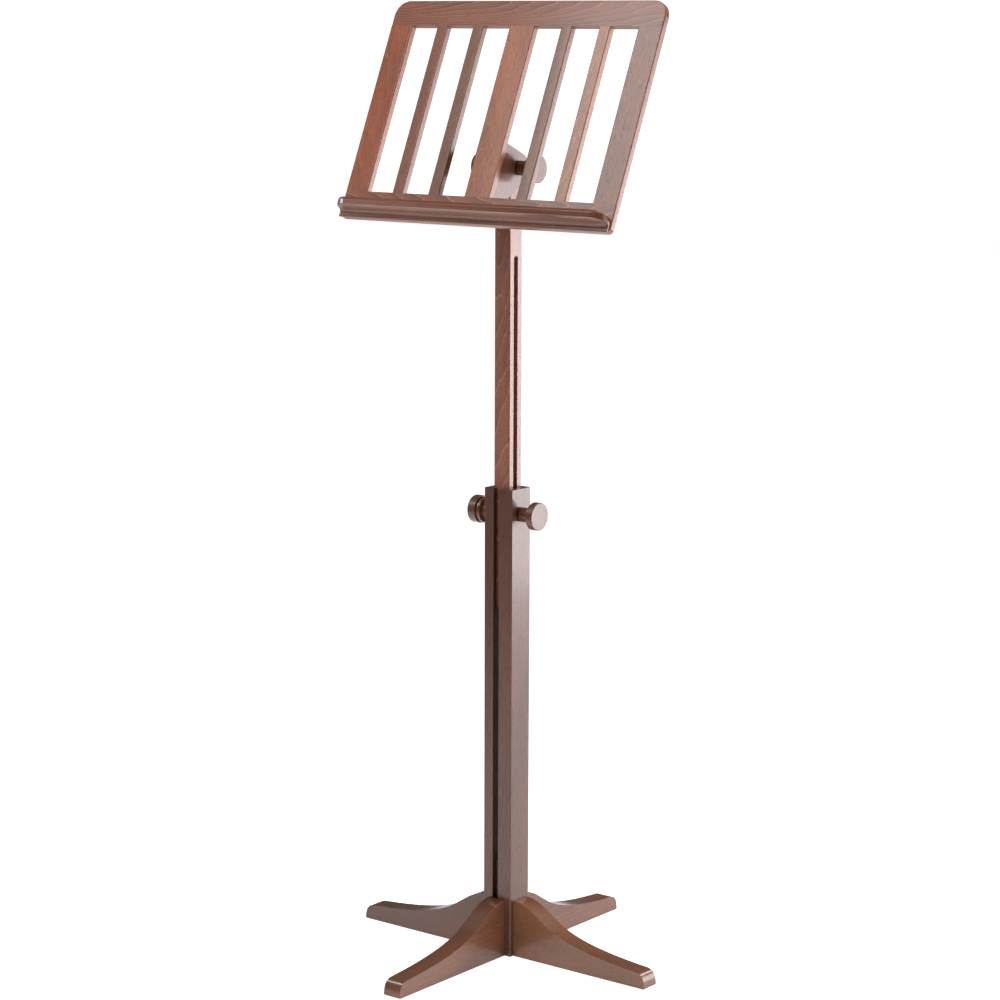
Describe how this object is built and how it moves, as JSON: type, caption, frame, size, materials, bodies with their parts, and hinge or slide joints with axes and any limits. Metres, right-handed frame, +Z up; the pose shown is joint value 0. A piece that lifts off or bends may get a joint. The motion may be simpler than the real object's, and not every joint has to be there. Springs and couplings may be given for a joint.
{
  "type": "music stand",
  "caption": "Free-standing wooden music stand with swept feet, a clamped sliding mast and a slatted tilting desk with a moulded ledge.",
  "frame": {"origin": "on the floor, under the column's axis", "axes": "+Z up, +X towards the player's right hand, -Y towards the player; the desk leans back towards +Y"},
  "size_m": [0.531, 0.531, 1.4101],
  "materials": {
    "lacquered_beech": "walnut stain under satin lacquer",
    "desk_beech": "walnut stain under satin lacquer",
    "raw_beech": "bare, glued",
    "steel": "zinc plated",
    "brass": "turned",
    "felt": "pressed felt"
  },
  "bodies": {
    "base": {"column_rail_left": "lacquered_beech", "column_rail_right": "lacquered_beech", "column_base_block": "raw_beech", "foot_right": "lacquered_beech", "foot_back": "lacquered_beech", "foot_left": "lacquered_beech", "foot_front": "lacquered_beech", "foot_pad_right": "felt", "foot_pad_back": "felt", "foot_pad_left": "felt", "foot_pad_front": "felt", "foot_dowel_right_1": "raw_beech", "foot_dowel_right_2": "raw_beech", "foot_dowel_back_1": "raw_beech", "foot_dowel_back_2": "raw_beech", "foot_dowel_left_1": "raw_beech", "foot_dowel_left_2": "raw_beech", "foot_dowel_front_1": "raw_beech", "foot_dowel_front_2": "raw_beech", "height_stud": "steel"},
    "mast": {"mast_post": "lacquered_beech", "tilt_stud": "steel"},
    "desk": {"desk_top_rail": "desk_beech", "desk_bottom_rail": "desk_beech", "desk_ledge": "desk_beech", "desk_stile_left": "desk_beech", "desk_slat_left_outer": "desk_beech", "desk_slat_left_inner": "desk_beech", "desk_centre_bar": "desk_beech", "desk_slat_right_inner": "desk_beech", "desk_slat_right_outer": "desk_beech", "desk_stile_right": "desk_beech", "tilt_cheek_left": "lacquered_beech", "tilt_cheek_right": "lacquered_beech"},
    "height_knob_left_turning": {"height_knob_left": "lacquered_beech", "height_insert_left": "brass", "height_washer_left": "steel"},
    "height_knob_right_turning": {"height_knob_right": "lacquered_beech", "height_insert_right": "brass", "height_washer_right": "steel"},
    "tilt_knob_left_turning": {"tilt_knob_left": "lacquered_beech", "tilt_insert_left": "brass", "tilt_washer_left": "steel"},
    "tilt_knob_right_turning": {"tilt_knob_right": "lacquered_beech", "tilt_insert_right": "brass", "tilt_washer_right": "steel"}
  },
  "joints": [
    {"name": "mast_slide", "type": "slide", "parent": "base", "child": "mast", "axis": [0, 0, 1], "range_m": [-0.372, 0.098]},
    {"name": "desk_tilt", "type": "hinge", "parent": "mast", "child": "desk", "pos_m": [0, 0, 1.173], "axis": [-1, 0, 0], "range_deg": [-23.5, 66.5]},
    {"name": "height_knob_left_spin", "type": "hinge", "parent": "base", "child": "height_knob_left_turning", "pos_m": [0, 0, 0.67], "axis": [-1, 0, 0], "continuous": true},
    {"name": "height_knob_right_spin", "type": "hinge", "parent": "base", "child": "height_knob_right_turning", "pos_m": [0, 0, 0.67], "axis": [1, 0, 0], "continuous": true},
    {"name": "tilt_knob_left_spin", "type": "hinge", "parent": "mast", "child": "tilt_knob_left_turning", "pos_m": [0, 0, 1.173], "axis": [-1, 0, 0], "continuous": true},
    {"name": "tilt_knob_right_spin", "type": "hinge", "parent": "mast", "child": "tilt_knob_right_turning", "pos_m": [0, 0, 1.173], "axis": [1, 0, 0], "continuous": true}
  ]
}
